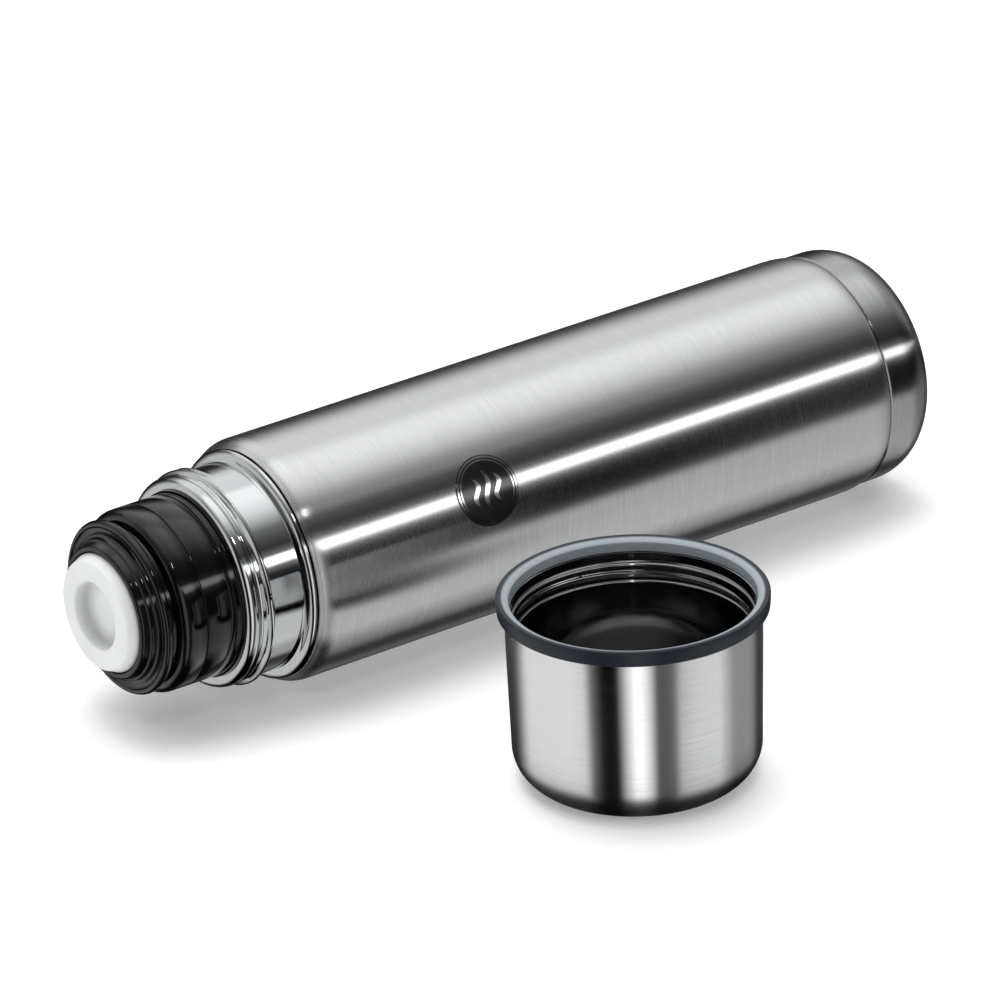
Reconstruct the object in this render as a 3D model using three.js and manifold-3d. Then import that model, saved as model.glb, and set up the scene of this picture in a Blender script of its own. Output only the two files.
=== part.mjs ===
// Vacuum flask lying on its side, with its push-button stopper screwed in.
// Its drinking cup stands beside it.
// Millimetres, +Z up. The flask's axis runs along X, with its base towards +X and its mouth towards -X.
// The origin is on the surface that both stand on, at the middle of the whole arrangement.

import * as THREE from "three";
import { mergeVertices } from "three/addons/utils/BufferGeometryUtils.js";
import Module from "manifold-3d";

const wasm = await Module();
wasm.setup();

// ---- Driving dimensions -----------------------------------------------------------------

const BODY_RADIUS = 40;
const STEEL = 0.5; // sheet thickness
const GAP = 0.3; // clearance between separate pieces that touch on the real flask

// Heights along the flask's axis, from the base face towards the mouth
const SEAM = 21.6;
const SHOULDER = 248;
const LEDGE = 260.4;
const MOUTH = 272;
const GRIP_TOP = 293.6;
const COLLAR_TOP = 304.2;
const BUTTON_FACE = 307.4;

const LINER_RADIUS = 36.2; // outside of the inner bottle
const LINER_BOTTOM = 12.5;
const LINER_CORNER = 9;
const LINER_SEAM = LINER_BOTTOM + 12; // weld between the inner bottle's tube and its dished bottom
const LINER_SHOULDER = 233; // where the inner bottle starts to narrow
const LINER_SHOULDER_TALL = 12;
const LINER_NECK_TOP = 271;
const LINER_THREAD_START = 247.6;
const FOIL_BOTTOM = 30;
const FOIL_TOP = 228;
const PLATE_BOTTOM = 7.2; // plate that closes the outer wall
const BASE_RADIUS = BODY_RADIUS - 0.9;
const BASE_RECESS = 1.2;
const BASE_RECESS_RADIUS = 20;
const NECK_RADIUS = 34;
const BORE_RADIUS = 28; // stopper thread's root in the liner
const LIP_RADIUS = 31.2; // inside of the mouth

const GRIP_RADIUS = 30;
const PLUG_RADIUS = 25.6;
const PLUG_BOTTOM = 245.8;
const BULKHEAD = 275;
const BULKHEAD_TOP = BULKHEAD + 2;
const O_RING_SEAT = 5.6;
const TUBE_BORE = 20.3;
const TOP_RING_RADIUS = 28.1;
const BUTTON_RADIUS = 19.5;
const BUTTON_FACE_RADIUS = 18.1;
const RECESS_RADIUS = 11.4;
const RECESS_DEPTH = 4.2;
const BUTTON_UNDERSIDE = BUTTON_FACE - RECESS_DEPTH - 1.8;
const BUTTON_BOSS = 5.6; // radius of the boss that holds the stem
const SKIRT_END = 291;
const SPRING_RADIUS = 8;
const SPRING_WIRE = 0.6; // radius
const STEM_RADIUS = 2.8;
const VALVE_RADIUS = 15;
const VALVE_OPENING = 12;
const VALVE_TOP = PLUG_BOTTOM - 1.8;
const VALVE_BOTTOM = VALVE_TOP - 1.8;
const STOPPER_PITCH = 5;

const CUP_HEIGHT = 61.9;
const CUP_RADIUS = 39.9;
const CUP_FOOT_RADIUS = 38.8;
const CUP_CORNER = 12;
const CUP_RECESS = 0.9;
const CUP_PITCH = 4;
const CUP_THREAD_START = 41.6;
const LINING_BOTTOM = 2; // outside of the cup's lining
const LINING_FLOOR = 3.6; // inside of it
const RIM_RADIUS = 42.4;
const RIM_BAND = 5; // height of the rim ring's outer band
const RIM_BORE = 38.3;

// The cup's axis, from the flask's base face and from the flask's axis
const CUP_ALONG = -194.8;
const CUP_ASIDE = -131.1;

// Sides of the turned solids
const SIDES = 24;
const STOPPER_SIDES = 24;
const SMALL_SIDES = 12;

const BASE_X = BUTTON_FACE / 2;
const FLASK_Y = (RIM_RADIUS - BODY_RADIUS - CUP_ASIDE) / 2;
const CUP_X = BASE_X + CUP_ALONG;
const CUP_Y = FLASK_Y + CUP_ASIDE;

// ---- Finishes ---------------------------------------------------------------------------

const FINISHES = {
  brushedSteel: { color: 0xb4b6b7, roughness: 0.32, metalness: 1 },
  polishedSteel: { color: 0xc8c9ca, roughness: 0.08, metalness: 1 },
  plainSteel: { color: 0xa8a9a8, roughness: 0.4, metalness: 1 },
  foil: { color: 0xc07a55, roughness: 0.3, metalness: 1 },
  blackPlastic: { color: 0x0a0a0b, roughness: 0.12, metalness: 0 },
  whitePlastic: { color: 0xe8eaec, roughness: 0.35, metalness: 0 },
  rimPlastic: { color: 0x4a5058, roughness: 0.45, metalness: 0 },
  silicone: { color: 0xd9d9d4, roughness: 0.6, metalness: 0 },
  foam: { color: 0xe2dcc8, roughness: 0.95, metalness: 0 },
  grey: { color: 0x6b6d70, roughness: 0.7, metalness: 0 },
};

// ---- Shape helpers ----------------------------------------------------------------------

// Outline points are [height, radius]; an arc is a quarter or less of an ellipse about a centre.
function arc([height, radius], [tall, wide], from, to, steps) {
  const points = [];
  for (let i = 0; i <= steps; i += 1) {
    const angle = THREE.MathUtils.degToRad(from + ((to - from) * i) / steps);
    points.push([height + tall * Math.sin(angle), radius + wide * Math.cos(angle)]);
  }
  return points;
}

// The same outline moved towards the axis by the sheet's thickness, listed backwards
function inside(outline, thickness = STEEL) {
  const moved = outline.map(([height, radius], i) => {
    const before = outline[Math.max(i - 1, 0)];
    const after = outline[Math.min(i + 1, outline.length - 1)];
    const along = new THREE.Vector2(after[1] - before[1], after[0] - before[0]).normalize();
    return [height + along.x * thickness, Math.max(radius - along.y * thickness, 0)];
  });
  return moved.reverse();
}

function signedVolume(geometry) {
  const index = geometry.index.array;
  const corners = [new THREE.Vector3(), new THREE.Vector3(), new THREE.Vector3()];
  let volume = 0;
  for (let i = 0; i < index.length; i += 3) {
    corners.forEach((corner, k) => corner.fromBufferAttribute(geometry.attributes.position, index[i + k]));
    volume += corners[0].dot(corners[1].cross(corners[2])) / 6;
  }
  return volume;
}

// Shared corners, no slivers, and faces that point out
function closed(geometry) {
  geometry.deleteAttribute("normal");
  geometry.deleteAttribute("uv");
  const merged = mergeVertices(geometry, 1e-4);
  const kept = [];
  const index = merged.index.array;
  for (let i = 0; i < index.length; i += 3) {
    const [a, b, c] = index.slice(i, i + 3);
    if (a !== b && b !== c && c !== a) kept.push(a, b, c);
  }
  merged.setIndex(kept);
  if (signedVolume(merged) < 0) merged.setIndex(kept.reverse());
  return merged;
}

// A solid turned about the axis. Its flats, not its corners, lie on the true radius.
function turned(outline, sides = SIDES) {
  const flat = 1 / Math.cos(Math.PI / sides);
  const points = [...outline];
  const [first, last] = [outline[0], outline[outline.length - 1]];
  if (first[1] > 0 || last[1] > 0) points.push(first);
  const profile = points.map(([height, radius]) => new THREE.Vector2(radius * flat, height));
  return closed(new THREE.LatheGeometry(profile, sides, Math.PI / sides));
}

function tube(bottom, top, inner, outer, sides) {
  return turned([[bottom, inner], [bottom, outer], [top, outer], [top, inner]], sides);
}

// A right-handed thread ridge: a long bar wound round the axis, fading into the wall at both ends
function ridge({ root, crest, foot, tip, pitch, start, turns, stepsPerTurn = 18 }) {
  const steps = Math.round(turns * stepsPerTurn);
  const bar = new THREE.BoxGeometry(1, 1, 1, 1, 1, steps);
  const corner = bar.attributes.position;
  for (let i = 0; i < corner.count; i += 1) {
    const outward = corner.getX(i) + 0.5;
    const along = corner.getZ(i) + 0.5;
    const angle = along * turns * 2 * Math.PI;
    const fade = Math.min(1, (along * steps) / 3, ((1 - along) * steps) / 3);
    const radius = root + (crest - root) * outward * Math.max(fade, 0.15);
    const width = THREE.MathUtils.lerp(foot, tip, outward);
    const height = start + along * turns * pitch + corner.getY(i) * width;
    corner.setXYZ(i, radius * Math.sin(angle), height, radius * Math.cos(angle));
  }
  return closed(bar);
}

function solid(geometry) {
  const vertProperties = new Float32Array(geometry.attributes.position.array);
  const triVerts = new Uint32Array(geometry.index.array);
  return new wasm.Manifold(new wasm.Mesh({ numProp: 3, vertProperties, triVerts }));
}

function surface(body) {
  const mesh = body.getMesh();
  const geometry = new THREE.BufferGeometry();
  geometry.setAttribute("position", new THREE.BufferAttribute(new Float32Array(mesh.vertProperties), 3));
  geometry.setIndex(new THREE.BufferAttribute(new Uint32Array(mesh.triVerts), 1));
  return geometry;
}

function joined(...geometries) {
  return surface(geometries.map(solid).reduce((body, next) => body.add(next)));
}

function cut(geometry, tools) {
  return surface(tools.map(solid).reduce((body, tool) => body.subtract(tool), solid(geometry)));
}

// Copies of a block that stand round the axis at one radius
function blocksRound(count, [radial, tall, across], radius, height) {
  return Array.from({ length: count }, (_, i) => {
    const block = new THREE.BoxGeometry(radial, tall, across).translate(radius, height, 0);
    return closed(block.rotateY((i * 2 * Math.PI) / count));
  });
}

function named(name, geometry, finish) {
  const mesh = new THREE.Mesh(geometry, new THREE.MeshStandardMaterial(FINISHES[finish]));
  mesh.name = name;
  return mesh;
}

// ---- Flask body -------------------------------------------------------------------------

// Brushed tube: rolled in a little at the seam, rounded over at the shoulder
function outerShell() {
  const outline = [
    [SEAM + 0.4, BODY_RADIUS - 1],
    [SEAM + 5.4, BODY_RADIUS],
    ...arc([SHOULDER - 6, BODY_RADIUS - 3.5], [6, 3.5], 0, 63, 3),
    [SHOULDER, BODY_RADIUS - 2.1],
  ];
  return named("outer_shell", turned([...outline, ...inside(outline)]), "brushedSteel");
}

// Polished collar: fold at the shoulder, wide band, cup thread and rounded rim at the mouth
function neckCollar() {
  const outline = [
    ...arc([SHOULDER + GAP, NECK_RADIUS + 0.6], [2.3, 3.3], 0, 90, 2),
    [SHOULDER + 3.6, NECK_RADIUS],
    [MOUTH - 5, NECK_RADIUS],
    ...arc([MOUTH - 1.6, NECK_RADIUS - 1], [1.6, 1.5], 0, 150, 3),
  ];
  const sleeve = turned([...outline, ...inside(outline)]);
  const thread = ridge({
    root: NECK_RADIUS - 0.2,
    crest: NECK_RADIUS + 1.6,
    foot: 2.2,
    tip: 1,
    pitch: CUP_PITCH,
    stepsPerTurn: 14,
    start: SHOULDER + 12.6,
    turns: 1.4,
  });
  return named("neck_collar", joined(sleeve, thread), "polishedSteel");
}

// Tube of the inner bottle: shoulder, threaded neck, gasket ledge and the lip inside the mouth
function innerLiner() {
  const neck = BORE_RADIUS + STEEL;
  const lip = LIP_RADIUS + STEEL;
  const outline = [
    [LINER_SEAM + GAP, LINER_RADIUS],
    ...arc([LINER_SHOULDER, neck], [LINER_SHOULDER_TALL, LINER_RADIUS - neck], 0, 90, 3),
    [LEDGE - STEEL, neck],
    [LEDGE - STEEL, lip - 0.6],
    [LEDGE + 0.4, lip],
    [LINER_NECK_TOP, lip],
  ];
  const bore = [
    [LINER_NECK_TOP, LIP_RADIUS],
    [LEDGE + 0.6, LIP_RADIUS],
    [LEDGE, LIP_RADIUS - 0.6],
    [LEDGE, BORE_RADIUS],
    ...arc([LINER_SHOULDER, BORE_RADIUS], [LINER_SHOULDER_TALL - STEEL, LINER_RADIUS - neck], 90, 0, 3),
    [LINER_SEAM + GAP, LINER_RADIUS - STEEL],
  ];
  const bottle = turned([...outline, ...bore]);
  const thread = ridge({
    root: BORE_RADIUS + 0.2,
    crest: BORE_RADIUS - 1.6,
    foot: 1.8,
    tip: 1,
    pitch: STOPPER_PITCH,
    start: LINER_THREAD_START,
    turns: 1.9,
  });
  return named("inner_liner", joined(bottle, thread), "plainSteel");
}

// Dished bottom of the inner bottle, welded to its tube
function linerBottom() {
  const middle = [LINER_BOTTOM + LINER_CORNER, LINER_RADIUS - LINER_CORNER];
  const reach = LINER_CORNER - STEEL;
  const outline = [
    [LINER_BOTTOM, 0],
    ...arc(middle, [-LINER_CORNER, LINER_CORNER], 90, 0, 3),
    [LINER_SEAM, LINER_RADIUS],
    [LINER_SEAM, LINER_RADIUS - STEEL],
    ...arc(middle, [-reach, reach], 0, 90, 3),
    [LINER_BOTTOM + STEEL, 0],
  ];
  return named("liner_bottom", turned(outline), "plainSteel");
}

// Brushed end section, with a flat standing ring round a shallow recess
function baseCup() {
  const corner = [14, BASE_RADIUS - 26];
  const middle = [corner[0], BASE_RADIUS - corner[1]];
  const outline = [
    [BASE_RECESS, 0],
    [BASE_RECESS, BASE_RECESS_RADIUS - 1.2],
    [0, BASE_RECESS_RADIUS],
    ...arc(middle, [-corner[0], corner[1]], 90, 0, 4),
    [SEAM, BASE_RADIUS],
  ];
  const back = [
    [SEAM, BASE_RADIUS - STEEL],
    ...arc(middle, [STEEL - corner[0], corner[1] - STEEL], 0, 90, 4),
    [STEEL, BASE_RECESS_RADIUS + 0.3],
    [BASE_RECESS + STEEL, BASE_RECESS_RADIUS - 0.9],
    [BASE_RECESS + STEEL, 0],
  ];
  return named("base_cup", turned([...outline, ...back]), "brushedSteel");
}

// Closes the outer wall under the inner bottle, with an evacuation hole in its middle
function outerBottomPlate() {
  const radius = BODY_RADIUS - 2.6;
  const outline = [
    [PLATE_BOTTOM, 1.5],
    ...arc([PLATE_BOTTOM + 12, radius - 13.4], [-12, 13.4], 90, 0, 3),
    [SEAM + 4, radius],
  ];
  return named("outer_bottom_plate", turned([...outline, ...inside(outline)]), "plainSteel");
}

function vacuumSealBead() {
  const back = [PLATE_BOTTOM - GAP, 0];
  const dome = arc(back, [-1.8, 3.2], 90, 0, 4);
  return named("vacuum_seal_bead", turned([...dome, back], SMALL_SIDES), "plainSteel");
}

function getterTablet() {
  const radius = 7;
  const bottom = PLATE_BOTTOM + 1.8;
  const top = LINER_BOTTOM - 1;
  const outline = [
    [bottom, 0],
    [bottom, radius - 0.6],
    [bottom + 0.5, radius],
    [top, radius],
    [top, 0],
  ];
  return named("getter_tablet", turned(outline, SMALL_SIDES), "grey");
}

function foilWrap() {
  const inner = LINER_RADIUS + GAP;
  return named("foil_wrap", tube(FOIL_BOTTOM, FOIL_TOP, inner, inner + 0.2), "foil");
}

// ---- Stopper ----------------------------------------------------------------------------

function neckGasket() {
  const outline = [
    [LEDGE + GAP, BORE_RADIUS],
    [LEDGE + GAP, LIP_RADIUS - 1.2],
    [LEDGE + 1.1, LIP_RADIUS - 0.6],
    [LEDGE + 1.8, LIP_RADIUS - 1],
    [LEDGE + 1.8, BORE_RADIUS],
  ];
  return named("neck_gasket", turned(outline, STOPPER_SIDES), "silicone");
}

// Threaded lower body: valve seat in its floor, flange over the gasket, pouring windows above the flange
function stopperPlug() {
  const flange = LEDGE + 2.1;
  const top = MOUTH + 0.5;
  const bore = PLUG_RADIUS - 2.6;
  const outline = [
    [PLUG_BOTTOM, VALVE_OPENING],
    [PLUG_BOTTOM, PLUG_RADIUS - 1.4],
    [PLUG_BOTTOM + 1.4, PLUG_RADIUS],
    [flange, PLUG_RADIUS],
    [flange, LIP_RADIUS - 0.8],
    [flange + 1.5, LIP_RADIUS - 0.8],
    [flange + 1.5, PLUG_RADIUS],
    [top, PLUG_RADIUS],
    [top, bore],
    [PLUG_BOTTOM + 1.8, bore],
    [PLUG_BOTTOM + 1.8, VALVE_OPENING],
  ];
  const body = turned(outline, STOPPER_SIDES);
  const thread = ridge({
    root: PLUG_RADIUS - 0.2,
    crest: PLUG_RADIUS + 1.7,
    foot: 1.8,
    tip: 1,
    pitch: STOPPER_PITCH,
    start: LINER_THREAD_START + STOPPER_PITCH / 2,
    turns: 1.9,
  });
  const windows = blocksRound(6, [8, 3.6, 9], PLUG_RADIUS - 1.3, flange + 3.9);
  return named("stopper_plug", cut(joined(body, thread), windows), "blackPlastic");
}

// Glossy cylinder above the mouth: outer wall, bulkhead with the stem's hole, and the button's tube
function stopperGrip() {
  const outline = [
    [MOUTH - 3, GRIP_RADIUS],
    ...arc([GRIP_TOP - 4, GRIP_RADIUS - 3.6], [4, 3.6], 0, 90, 3),
    [GRIP_TOP, GRIP_RADIUS - 4.6],
    [GRIP_TOP - 3, GRIP_RADIUS - 2],
    [BULKHEAD_TOP, GRIP_RADIUS - 2],
    [BULKHEAD_TOP, TUBE_BORE + 1.4],
    [GRIP_TOP - 1, TUBE_BORE + 1.4],
    [GRIP_TOP - 1, TUBE_BORE],
    [BULKHEAD_TOP, TUBE_BORE],
    [BULKHEAD_TOP, O_RING_SEAT],
    [BULKHEAD + 0.6, O_RING_SEAT],
    [BULKHEAD + 0.6, STEM_RADIUS + 0.5],
    [BULKHEAD, STEM_RADIUS + 0.5],
    [BULKHEAD, PLUG_RADIUS + 0.4],
    [MOUTH - 3, PLUG_RADIUS + 0.4],
  ];
  return named("stopper_grip", turned(outline, STOPPER_SIDES), "blackPlastic");
}

// Flange with a rounded edge, a stepped front face and a collar round the button
function stopperTopRing() {
  const bore = BUTTON_RADIUS + 0.4;
  const outline = [
    [GRIP_TOP + GAP, bore],
    [GRIP_TOP + GAP, 25.6],
    [GRIP_TOP + 1.9, 25.4],
    ...arc([GRIP_TOP + 4.1, TOP_RING_RADIUS - 1.7], [1.7, 1.7], -90, 90, 4),
    [GRIP_TOP + 4.6, 25],
    [GRIP_TOP + 5.4, 23.8],
    [COLLAR_TOP - 2.4, 22.2],
    [COLLAR_TOP - 0.6, 21.6],
    [COLLAR_TOP, 21],
    [COLLAR_TOP, bore],
  ];
  return named("stopper_top_ring", turned(outline, STOPPER_SIDES), "blackPlastic");
}

function insulationRing() {
  const ring = tube(BULKHEAD_TOP + GAP, GRIP_TOP - 4, TUBE_BORE + 1.8, GRIP_RADIUS - 2.4, STOPPER_SIDES);
  return named("insulation_ring", ring, "foam");
}

// Fixed half of the push-push latch: a ring with cam notches in its upper edge
function latchCam() {
  const bottom = BULKHEAD_TOP + GAP;
  const ring = tube(bottom, bottom + 6, 16.4, TUBE_BORE - 0.4, STOPPER_SIDES);
  const notches = blocksRound(6, [8, 3, 3.4], 18.2, bottom + 5.4);
  return named("latch_cam", cut(ring, notches), "whitePlastic");
}

function stemORing() {
  const middle = BULKHEAD + 1.5;
  const section = arc([middle, 4.2], [0.6, 0.9], 0, 300, 5);
  return named("stem_o_ring", turned(section, SMALL_SIDES), "grey");
}

// ---- Button and valve -------------------------------------------------------------------

// Tapered cap with a round finger recess, a hollow skirt and a boss for the stem
function pushButton() {
  const floor = BUTTON_FACE - RECESS_DEPTH;
  const skirt = BUTTON_RADIUS - 1.6;
  const outline = [
    [floor - 0.3, 0],
    [floor, RECESS_RADIUS - 0.8],
    [BUTTON_FACE, RECESS_RADIUS],
    [BUTTON_FACE, BUTTON_FACE_RADIUS - 0.8],
    [BUTTON_FACE - 0.8, BUTTON_FACE_RADIUS],
    [COLLAR_TOP - 0.4, BUTTON_RADIUS],
    [SKIRT_END, BUTTON_RADIUS],
    [SKIRT_END, skirt],
    [BUTTON_UNDERSIDE, skirt],
    [BUTTON_UNDERSIDE, BUTTON_BOSS],
    [BUTTON_UNDERSIDE - 5, BUTTON_BOSS],
    [BUTTON_UNDERSIDE - 5, STEM_RADIUS + GAP],
    [BUTTON_UNDERSIDE, STEM_RADIUS + GAP],
    [BUTTON_UNDERSIDE, 0],
  ];
  return named("push_button", turned(outline, STOPPER_SIDES), "whitePlastic");
}

class Coil extends THREE.Curve {
  constructor(radius, bottom, top, turns) {
    super();
    Object.assign(this, { radius, bottom, top, turns });
  }

  getPoint(t, target = new THREE.Vector3()) {
    const angle = t * this.turns * 2 * Math.PI;
    const height = THREE.MathUtils.lerp(this.bottom, this.top, t);
    return target.set(this.radius * Math.sin(angle), height, this.radius * Math.cos(angle));
  }
}

function buttonSpring() {
  const turns = 5;
  const margin = SPRING_WIRE + GAP;
  const path = new Coil(SPRING_RADIUS, BULKHEAD_TOP + margin, BUTTON_UNDERSIDE - margin, turns);
  const round = new THREE.EllipseCurve(0, 0, SPRING_WIRE, SPRING_WIRE);
  const section = new THREE.Shape(round.getPoints(5).slice(0, 5));
  const wound = new THREE.ExtrudeGeometry(section, { steps: turns * 14, extrudePath: path });
  return named("button_spring", closed(wound), "plainSteel");
}

// Rod from the button down to a flange under the valve head
function valveStem() {
  const flangeTop = VALVE_BOTTOM - GAP;
  const flangeBottom = flangeTop - 1.3;
  const outline = [
    [flangeBottom, 0],
    [flangeBottom, 5],
    [flangeTop, 5],
    [flangeTop, STEM_RADIUS],
    [BUTTON_UNDERSIDE - GAP, STEM_RADIUS],
    [BUTTON_UNDERSIDE - GAP, 0],
  ];
  return named("valve_stem", turned(outline, SMALL_SIDES), "whitePlastic");
}

function valveHead() {
  const hole = STEM_RADIUS + GAP;
  const outline = [
    [VALVE_BOTTOM, hole],
    [VALVE_BOTTOM, VALVE_RADIUS - 2],
    [VALVE_BOTTOM + 1, VALVE_RADIUS],
    [VALVE_TOP, VALVE_RADIUS],
    [VALVE_TOP, hole],
  ];
  return named("valve_head", turned(outline, STOPPER_SIDES), "blackPlastic");
}

function valveSeal() {
  const outline = [
    [VALVE_TOP + GAP, VALVE_OPENING - 2],
    [VALVE_TOP + GAP, VALVE_RADIUS - 0.2],
    [PLUG_BOTTOM - GAP, VALVE_RADIUS - 0.8],
    [PLUG_BOTTOM - GAP, VALVE_OPENING - 1],
  ];
  return named("valve_seal", turned(outline, STOPPER_SIDES), "silicone");
}

// Moving half of the latch: a ring with lugs that drop past the cam notches
function latchRotor() {
  const top = SKIRT_END - 0.7;
  const ring = tube(top - 3.5, top, 10.6, 15, SMALL_SIDES);
  const lugs = blocksRound(6, [2.4, 2.4, 2.6], 15.2, top - 2.1);
  return named("latch_rotor", joined(ring, ...lugs), "whitePlastic");
}

// ---- Cup --------------------------------------------------------------------------------

// Brushed, slightly tapered, with a large bottom corner and a shallow recess inside its standing ring
function cupShell() {
  const foot = 23; // inner edge of the standing ring
  const outline = [
    [CUP_RECESS, 0],
    [CUP_RECESS, foot - 1],
    [0, foot],
    ...arc([CUP_CORNER, CUP_FOOT_RADIUS - CUP_CORNER], [-CUP_CORNER, CUP_CORNER - 0.3], 90, 0, 4),
    [32, CUP_RADIUS - 0.5],
    [CUP_HEIGHT - 2.7, CUP_RADIUS],
  ];
  return named("cup_shell", turned([...outline, ...inside(outline)]), "brushedSteel");
}

// Black lining with two ledges, and the thread that takes the neck
function cupLiner() {
  const top = CUP_HEIGHT - RIM_BAND + 0.4;
  const wall = 35.6; // inside, above the rounded floor
  const outline = [
    [LINING_BOTTOM, 0],
    [LINING_BOTTOM, 24],
    ...arc([LINING_BOTTOM + 10, 27.5], [-9.8, 9.8], 80, 0, 3),
    [top, 38.7],
  ];
  const lining = [
    [top, 38.1],
    [top - 2.3, 37.9],
    [top - 3.4, 36.9],
    [top - 7.7, 36.8],
    [top - 8.8, 36.1],
    [LINING_FLOOR + 10.4, wall],
    ...arc([LINING_FLOOR + 9, wall - 10], [-9, 9.6], 0, 90, 3),
    [LINING_FLOOR, 0],
  ];
  const thread = ridge({
    root: 36.4,
    crest: 34.7,
    foot: 2,
    tip: 1,
    pitch: CUP_PITCH,
    stepsPerTurn: 14,
    start: CUP_THREAD_START,
    turns: 1.2,
  });
  return named("cup_liner", joined(turned([...outline, ...lining]), thread), "blackPlastic");
}

// Clips over the shell's edge: outer band, sloping top and a short inner lip
function cupRimRing() {
  const band = CUP_HEIGHT - RIM_BAND;
  const outline = [
    [band, RIM_RADIUS - 2.1],
    [band, RIM_RADIUS - 0.3],
    [CUP_HEIGHT - 0.4, RIM_RADIUS],
    [CUP_HEIGHT, RIM_RADIUS - 0.3],
    [CUP_HEIGHT - 0.9, RIM_BORE + 0.5],
    [CUP_HEIGHT - 1.4, RIM_BORE],
    [band + 0.7, RIM_BORE],
    [band + 0.7, RIM_BORE + 0.7],
    [CUP_HEIGHT - 2.3, RIM_BORE + 0.7],
    [CUP_HEIGHT - 2.3, RIM_RADIUS - 2.1],
  ];
  return named("cup_rim_ring", turned(outline), "rimPlastic");
}

// ---- Assembly ---------------------------------------------------------------------------

const flask = new THREE.Group();
flask.position.set(BASE_X, FLASK_Y, BODY_RADIUS);
flask.rotation.z = Math.PI / 2;
flask.add(
  outerShell(),
  neckCollar(),
  innerLiner(),
  linerBottom(),
  baseCup(),
  outerBottomPlate(),
  vacuumSealBead(),
  getterTablet(),
  foilWrap(),
);
flask.add(
  neckGasket(),
  stopperPlug(),
  stopperGrip(),
  stopperTopRing(),
  insulationRing(),
  latchCam(),
  stemORing(),
);
flask.add(
  pushButton(),
  buttonSpring(),
  valveStem(),
  valveHead(),
  valveSeal(),
  latchRotor(),
);

const cup = new THREE.Group();
cup.position.set(CUP_X, CUP_Y, 0);
cup.rotation.x = Math.PI / 2;
cup.add(cupShell(), cupLiner(), cupRimRing());

const model = new THREE.Group();
model.add(flask, cup);

export default model;
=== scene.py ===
"""Looks of the vacuum flask: fine turned pieces over the CAD frame, materials, studio and camera.

Outlines are lists of (height, radius) in mm: height runs along a turning axis, radius away from it.
"""

import math

import bpy
from mathutils import Matrix, Vector


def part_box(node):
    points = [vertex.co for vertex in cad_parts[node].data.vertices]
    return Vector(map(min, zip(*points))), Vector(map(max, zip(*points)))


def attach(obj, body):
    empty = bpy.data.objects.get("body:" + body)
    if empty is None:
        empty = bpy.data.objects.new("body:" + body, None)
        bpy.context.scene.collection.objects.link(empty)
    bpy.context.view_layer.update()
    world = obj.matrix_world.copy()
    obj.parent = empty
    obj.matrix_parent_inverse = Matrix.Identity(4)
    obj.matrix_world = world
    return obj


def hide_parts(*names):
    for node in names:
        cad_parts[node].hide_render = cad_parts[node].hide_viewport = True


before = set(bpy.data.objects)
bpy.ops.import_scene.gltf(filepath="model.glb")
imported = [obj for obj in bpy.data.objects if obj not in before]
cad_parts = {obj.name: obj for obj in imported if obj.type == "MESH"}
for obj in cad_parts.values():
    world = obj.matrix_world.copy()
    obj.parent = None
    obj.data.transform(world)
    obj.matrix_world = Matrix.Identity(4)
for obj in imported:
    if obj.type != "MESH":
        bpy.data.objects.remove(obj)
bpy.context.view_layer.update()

MM = 0.001
TURN = 2 * math.pi
DEGREES = 360
ON_AXIS = 1e-6  # mm; a radius below this is a point on the axis

# Sides of a turned piece, and the angle in degrees from which an edge stays sharp
AROUND = 176
AROUND_NECK = 200
AROUND_BUTTON = 144
AROUND_LINER = 132
AROUND_DISC = 96
SHARP = 35
SHARP_WISP = 30

# ---- Where the pieces go: two axes, both from the frame --------------------------------------------------

base_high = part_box("base_cup")[1]
shell_low, shell_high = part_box("outer_shell")
cup_low, cup_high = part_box("cup_shell")


class Axis:
    """A turning axis: heights run from origin along `along`, and angles from `first` towards `second`."""

    def __init__(self, origin, along, first):
        self.origin = Vector(origin)
        self.along = Vector(along)
        self.first = Vector(first)
        self.second = self.along.cross(self.first)

    def point(self, height, radius, angle):
        out = math.cos(angle) * self.first + math.sin(angle) * self.second
        return self.origin + (height * self.along + radius * out) * MM


FLASK = Axis(
    (base_high.x, (shell_low.y + shell_high.y) / 2, (shell_low.z + shell_high.z) / 2),
    (-1, 0, 0),
    (0, 0, 1),
)
CUP = Axis(
    ((cup_low.x + cup_high.x) / 2, (cup_low.y + cup_high.y) / 2, cup_low.z),
    (0, 0, 1),
    (0, -1, 0),
)


# ---- Mesh helpers ----------------------------------------------------------------------------------------


def arc(centre, reach, start, end, steps=8):
    """Points (height, radius) on an ellipse about centre; 0 degrees points outwards, 90 along the axis."""
    points = []
    for i in range(steps + 1):
        a = math.radians(start + (end - start) * i / steps)
        points.append((centre[0] + reach[0] * math.sin(a), centre[1] + reach[1] * math.cos(a)))
    return points


def along_line(start, step, count, radius):
    """Points at even heights on a straight wall, close enough to carry a thread."""
    return [(start + step * k, radius) for k in range(count)]


def softened(outline, radius, steps):
    """The closed outline with each corner rounded by up to radius, but never over half of an edge."""
    points = []
    for i, here in enumerate(outline):
        corner = Vector(here)
        a = Vector(outline[i - 1]) - corner
        b = Vector(outline[(i + 1) % len(outline)]) - corner
        turn = math.pi - a.angle(b)
        cut = min(radius * math.tan(turn / 2), a.length * 0.45, b.length * 0.45)
        first = corner + a.normalized() * cut
        last = corner + b.normalized() * cut
        for k in range(steps + 1):
            t = k / steps
            p = first * (1 - t) ** 2 + corner * (2 * t * (1 - t)) + last * t**2
            points.append((p.x, p.y))
    return points


def volume(verts, faces):
    """Six times the signed volume; negative when the faces point inwards."""
    total = 0.0
    for f in faces:
        for k in range(1, len(f) - 1):
            total += verts[f[0]].dot(verts[f[k]].cross(verts[f[k + 1]]))
    return total


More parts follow.
